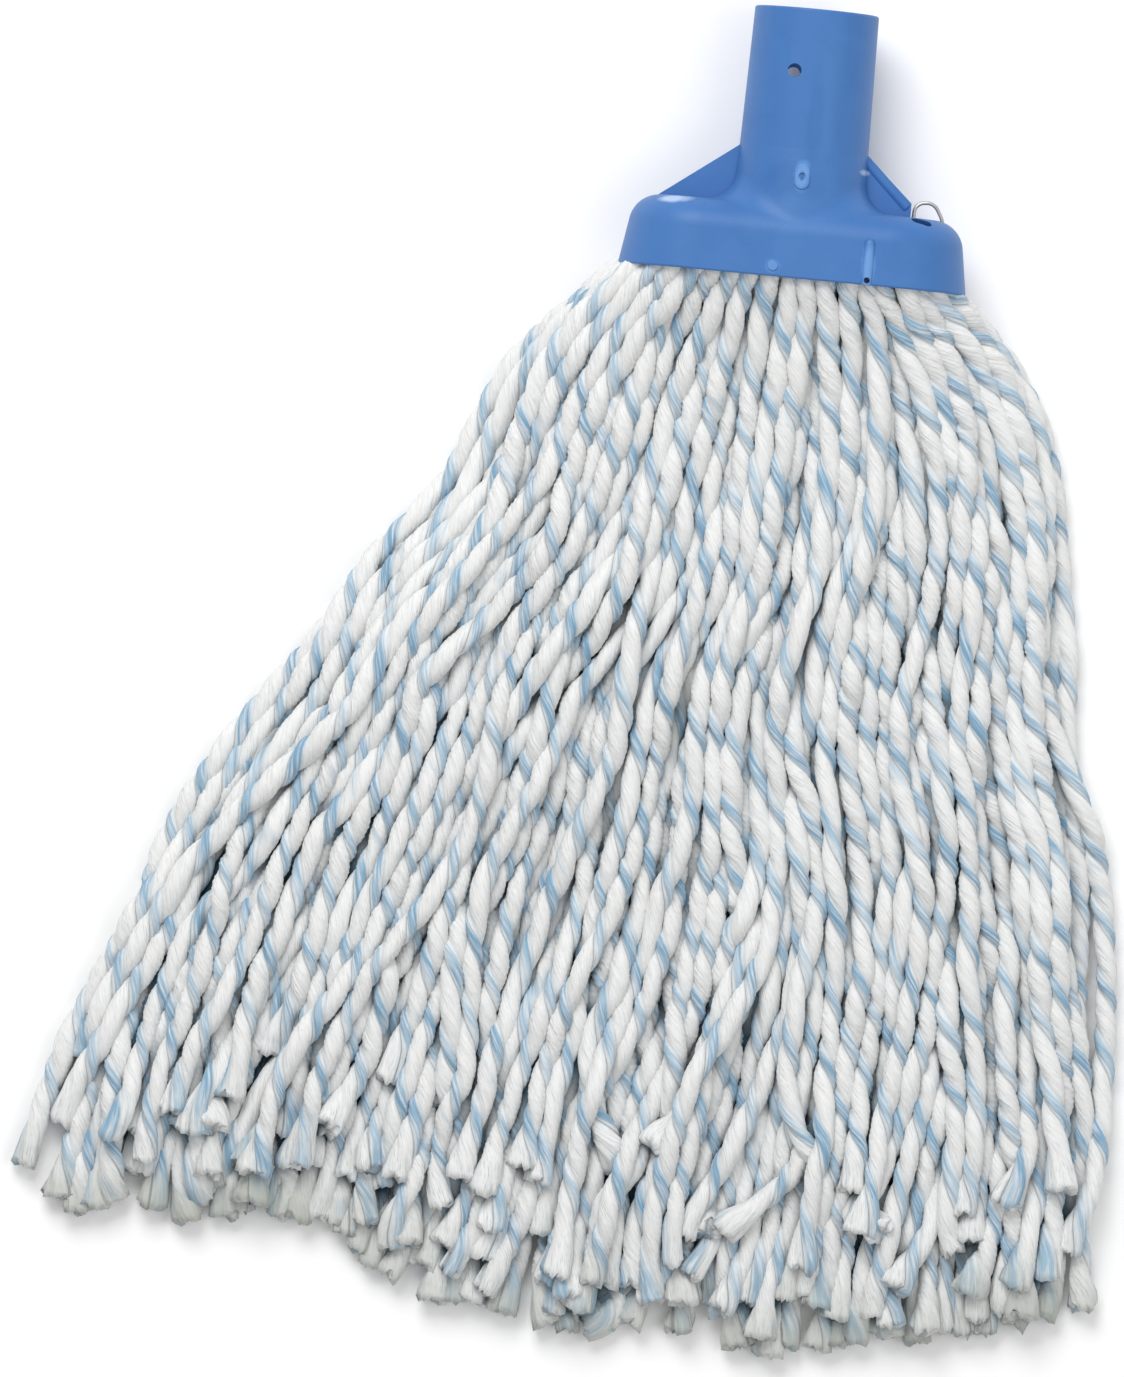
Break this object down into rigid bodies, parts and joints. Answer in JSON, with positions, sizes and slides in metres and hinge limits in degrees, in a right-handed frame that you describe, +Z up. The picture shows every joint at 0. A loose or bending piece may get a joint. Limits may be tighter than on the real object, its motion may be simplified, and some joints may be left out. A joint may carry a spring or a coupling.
{
  "type": "string mop head",
  "caption": "String mop head: a round tapered handle socket with an oval skirt, and long limp twisted yarn fanning out of it, with cut ends.",
  "frame": {"origin": "centre of the handle socket's mouth", "axes": "+Y out of the socket's mouth towards the handle, +X along the skirt to the right as seen from the front, +Z up off the floor, towards the front of the head as it lies"},
  "size_m": [0.2874, 0.3579, 0.041],
  "materials": {
    "shell_plastic": "moulded blue polypropylene, semi-gloss, with faint flow marks",
    "wire": "drawn galvanised wire, dull",
    "yarn": "twisted yarn, a fat white side of two merged plies and one thinner light blue ply, matt and slightly hairy"
  },
  "bodies": {
    "yarn": {"yarn_lock_11": "yarn", "yarn_lock_12": "yarn", "yarn_lock_13": "yarn", "yarn_lock_14": "yarn", "yarn_lock_15": "yarn", "yarn_lock_16": "yarn", "yarn_lock_17": "yarn", "yarn_lock_21": "yarn", "yarn_lock_22": "yarn", "yarn_lock_23": "yarn", "yarn_lock_24": "yarn", "yarn_lock_25": "yarn", "yarn_lock_26": "yarn", "yarn_lock_27": "yarn", "yarn_lock_31": "yarn", "yarn_lock_32": "yarn", "yarn_lock_33": "yarn", "yarn_lock_34": "yarn", "yarn_lock_35": "yarn", "yarn_lock_36": "yarn", "yarn_lock_37": "yarn"},
    "socket": {"socket_shell": "shell_plastic", "binding_wire": "wire", "yarn_fold_1": "yarn", "yarn_fold_2": "yarn", "yarn_fold_3": "yarn", "yarn_fold_4": "yarn", "yarn_fold_5": "yarn", "yarn_fold_6": "yarn", "yarn_fold_7": "yarn"}
  },
  "joints": [
    {"name": "socket_tilt", "type": "hinge", "parent": "yarn", "child": "socket", "pos_m": [0, -0.091, 0], "axis": [1, 0, 0], "range_deg": [0, 75]}
  ]
}
